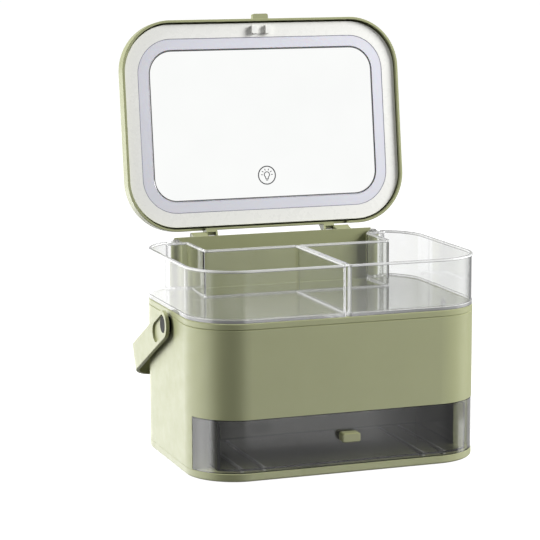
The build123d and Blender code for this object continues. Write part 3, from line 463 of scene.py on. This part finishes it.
def set_camera():
    """The camera, at the photograph's viewing angle."""
    back = way(CAMERA_AZIMUTH, CAMERA_HEIGHT)
    right = way(CAMERA_AZIMUTH + 90)
    up = back.cross(right)
    roll = radians(CAMERA_ROLL)
    data = bpy.data.cameras.new("camera")
    data.sensor_width = SENSOR_MM
    data.lens = FOCAL_PIXELS / PHOTO_PIXELS * SENSOR_MM
    data.clip_end = CAMERA_REACH
    camera = bpy.data.objects.new("camera", data)
    bpy.context.scene.collection.objects.link(camera)
    place = Matrix((cos(roll) * right + sin(roll) * up, cos(roll) * up - sin(roll) * right, back))
    place = place.transposed().to_4x4()
    place.translation = Vector(CAMERA_AIM) * MM + back * CAMERA_AWAY
    camera.matrix_world = place
    bpy.context.scene.camera = camera


def soft_light(name, azimuth, height, away, width, power):
    """A square soft box that faces the object. Neither gloss nor clear plastic shows it."""
    data = bpy.data.lights.new(name, "AREA")
    data.shape = "SQUARE"
    data.size = width
    data.energy = power
    lamp = bpy.data.objects.new(name, data)
    bpy.context.scene.collection.objects.link(lamp)
    outward = way(azimuth, height)
    lamp.location = Vector(LAMP_AIM) + outward * away
    lamp.rotation_euler = outward.to_track_quat("Z", "Y").to_euler()
    lamp.visible_glossy = False
    lamp.visible_transmission = False


def lay_floor():
    """One wide pale sheet for the camera, left out of gloss, clear plastic and scattered light."""
    mesh = bpy.data.meshes.new("floor")
    work = bmesh.new()
    corners = ((-FLOOR_REACH, -FLOOR_REACH), (FLOOR_REACH, -FLOOR_REACH),
               (FLOOR_REACH, FLOOR_REACH), (-FLOOR_REACH, FLOOR_REACH))
    work.faces.new([work.verts.new((x, y, 0)) for x, y in corners])
    work.to_mesh(mesh)
    work.free()
    floor = bpy.data.objects.new("floor", mesh)
    bpy.context.scene.collection.objects.link(floor)
    mesh.materials.append(moulded("floor", (0.30, 0.30, 0.30), rough=0.7, grain_mm=2.0, grain_depth=0.02,
                                  drift=0.01, Specular_IOR_Level=0.1,
                                  Emission_Color=(1.0, 1.0, 1.0, 1.0), Emission_Strength=FLOOR_GLOW))
    floor.visible_diffuse = False
    floor.visible_glossy = False
    floor.visible_transmission = False


set_camera()
soft_light("key_left", azimuth=-106, height=32, away=1.8, width=1.3, power=52.0)
soft_light("fill_right", azimuth=64, height=30, away=1.9, width=0.8, power=60.0)
lay_floor()

# The room round the object, with its colours by direction
world = bpy.data.worlds.new("studio")
world.use_nodes = True
bpy.context.scene.world = world
sky = world.node_tree
direction = sky.nodes.new("ShaderNodeTexCoord").outputs["Generated"]


def along(axis):
    """How far a direction of the room points along an axis, from -1 to 1."""
    node = sky.nodes.new("ShaderNodeVectorMath")
    node.operation = "DOT_PRODUCT"
    node.inputs[1].default_value = axis
    sky.links.new(direction, node.inputs[0])
    return node.outputs["Value"]


rise = along((0, 0, 1))
turn = maths(sky, "DEGREES", maths(sky, "ARCTAN2", along((1, 0, 0)), along((0, -1, 0))))


def around(*stops):
    """Greys round the object: each stop is an azimuth from -180 to 180 and its grey."""
    return shades(sky, turn, -180.0, 180.0, stops)


def by_rise(low, high, *stops):
    """Greys by how steep a direction is, between two values from -1, down, to 1, straight up."""
    return shades(sky, rise, low, high, stops)


def by_facing(azimuth, *stops):
    """Greys by how well a direction agrees with a level one, from -1 opposite it to 1 along it."""
    return shades(sky, along(way(azimuth)), -1.0, 1.0, stops)


def joined(operation, first, second):
    """Two colours, put through an operation."""
    node = sky.nodes.new("ShaderNodeVectorMath")
    node.operation = operation
    sky.links.new(first, node.inputs[0])
    sky.links.new(second, node.inputs[1])
    return node.outputs["Vector"]


def times(first, second):
    return joined("MULTIPLY", first, second)


def plus(first, second):
    return joined("ADD", first, second)


def background(color=None, strength=1.0):
    """A glow of some colour, or of a plain light grey."""
    node = sky.nodes.new("ShaderNodeBackground")
    node.inputs["Strength"].default_value = strength
    if color is not None:
        sky.links.new(color, node.inputs["Color"])
    return node.outputs["Background"]


def blend(share, first, second):
    """The first glow, with a share of the second."""
    mix = sky.nodes.new("ShaderNodeMixShader")
    sky.links.new(share, mix.inputs[0])
    sky.links.new(first, mix.inputs[1])
    sky.links.new(second, mix.inputs[2])
    return mix.outputs["Shader"]


# The shares of two layers: all that is under the horizon, and what is well under it
below = by_rise(-1.0, 1.0, (-0.06, 1.0), (-0.03, 0.0))
deep = by_rise(-1.0, 1.0, (-0.27, 1.0), (-0.26, 0.0))

# Seen directly and through clear plastic: a white room with dark cards overhead, behind on the right and
# in front on the left, and under it a ground that is light in front, white behind and dark to the sides
overhead = by_rise(0.0, 1.0, (0.30, 1.0), (0.62, 0.16))
right_card = by_facing(120, (0.80, 1.0), (0.93, 0.12))
left_card = by_facing(-60, (0.60, 1.0), (0.80, 0.12))
room = times(overhead, times(right_card, left_card))
ground = around((-180, 1.0), (-150, 1.0), (-125, 0.30), (-45, 0.30), (-25, 0.8), (25, 0.8), (45, 0.30),
                (138, 0.30), (150, 1.0))
seen = blend(below, background(room), background(ground))

# Seen by gloss, over the horizon: dim walls with a white card in front, a little to the right
walls = around((-180, 0.6), (-80, 0.5), (-60, 0.45), (0, 0.45), (8, 1.0), (38, 1.0), (50, 0.45), (95, 0.4),
               (140, 0.4), (175, 0.6))

# Seen by gloss, under the horizon: bright sheets on the left, in front and on the right, each with its
# own reach downwards
left_sheet = around((-180, 0.65), (-130, 0.7), (-110, 1.0), (-76, 1.0), (-62, 0.1), (-50, 0.07),
                    (130, 0.07), (160, 0.35), (180, 0.65))
left_reach = by_rise(-1.0, 0.0, (-0.187, 1.0), (-0.180, 0.65))
front_sheet = around((0, 0.0), (10, 1.0), (22.6, 1.0), (22.9, 0.1), (60, 0.1), (72, 0.9), (95, 0.9),
                     (110, 0.0))
front_reach = by_rise(-1.0, 0.0, (-0.243, 0.05), (-0.236, 0.25), (-0.222, 0.3), (-0.20, 1.0), (-0.17, 0.2))
side_sheets = around((-112, 0.0), (-100, 0.35), (-76, 0.35), (-66, 0.0), (70, 0.0), (76, 0.5), (92, 0.5),
                     (100, 0.0))
side_reach = by_rise(-1.0, 0.0, (-0.229, 1.0), (-0.226, 0.0))
sheets = plus(plus(times(left_sheet, left_reach), times(front_sheet, front_reach)),
              times(side_sheets, side_reach))

# Seen by gloss, well under the horizon
deep_sheet = around((-180, 0.65), (-130, 0.7), (-110, 1.0), (-76, 1.0), (-62, 0.1), (-50, 0.07), (-5, 0.07),
                    (8, 1.0), (40, 1.0), (58, 0.25), (130, 0.1), (160, 0.5))
deep_reach = by_rise(-1.0, 0.0, (-0.50, 0.25), (-0.38, 1.0))
under = blend(deep, background(sheets, SHEET_POWER), background(times(deep_sheet, deep_reach), SHEET_POWER))
mirrored = blend(below, background(walls), under)

# Light that came through clear plastic also counts as gloss, so its share is set after that of gloss
path = sky.nodes.new("ShaderNodeLightPath")
glow = blend(path.outputs["Is Glossy Ray"], seen, mirrored)
glow = blend(path.outputs["Is Transmission Ray"], glow, seen)
glow = blend(path.outputs["Is Diffuse Ray"], glow, background(strength=AMBIENT))
sky.links.new(glow, sky.nodes["World Output"].inputs["Surface"])
world.cycles.sampling_method = "NONE"

bpy.context.scene.view_settings.view_transform = "Standard"
bpy.context.scene.cycles.max_bounces = BOUNCES
bpy.context.scene.cycles.transmission_bounces = BOUNCES
bpy.context.scene.cycles.transparent_max_bounces = BOUNCES
bpy.context.scene.cycles.caustics_refractive = False
bpy.context.scene.cycles.caustics_reflective = False
